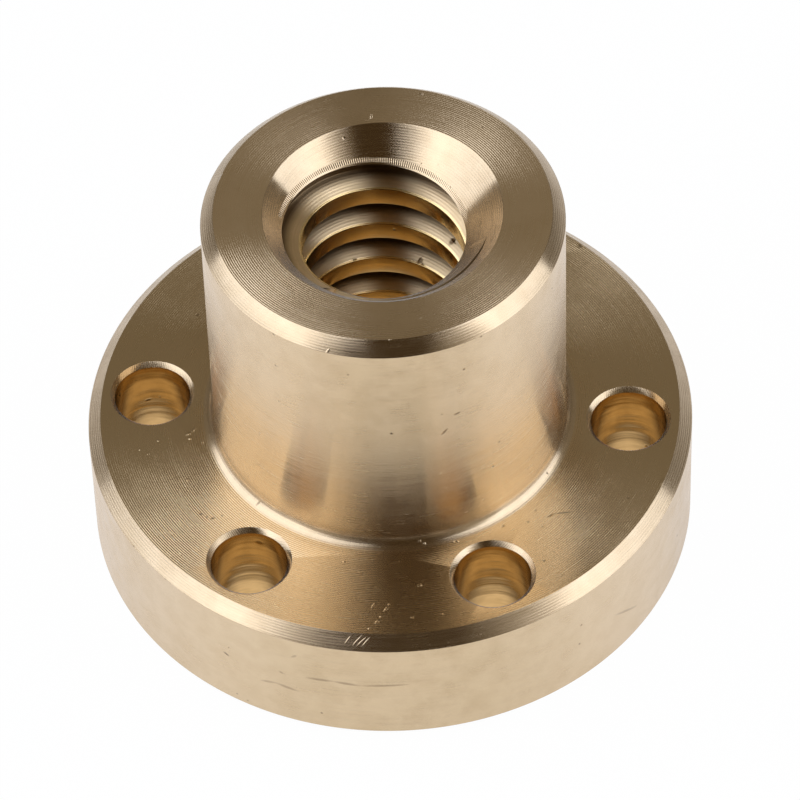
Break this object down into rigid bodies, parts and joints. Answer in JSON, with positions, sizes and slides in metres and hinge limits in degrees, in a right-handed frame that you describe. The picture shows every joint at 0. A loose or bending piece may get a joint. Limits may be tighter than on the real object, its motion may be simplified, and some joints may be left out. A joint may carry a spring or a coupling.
{
  "type": "lead screw nut",
  "caption": "Flanged bronze lead screw nut: a round barrel on a drilled round flange, cut through with a right-hand trapezoidal thread and countersunk at both mouths.",
  "frame": {"origin": "centre of the flange's outer face, on the thread axis", "axes": "+Z along the thread axis, from the flange face to the nose; +X through the middle of one bolt hole"},
  "size_m": [0.048, 0.048, 0.035],
  "materials": {
    "bronze": "turned, bare, satin"
  },
  "bodies": {
    "root": {"nut": "bronze"}
  },
  "joints": []
}
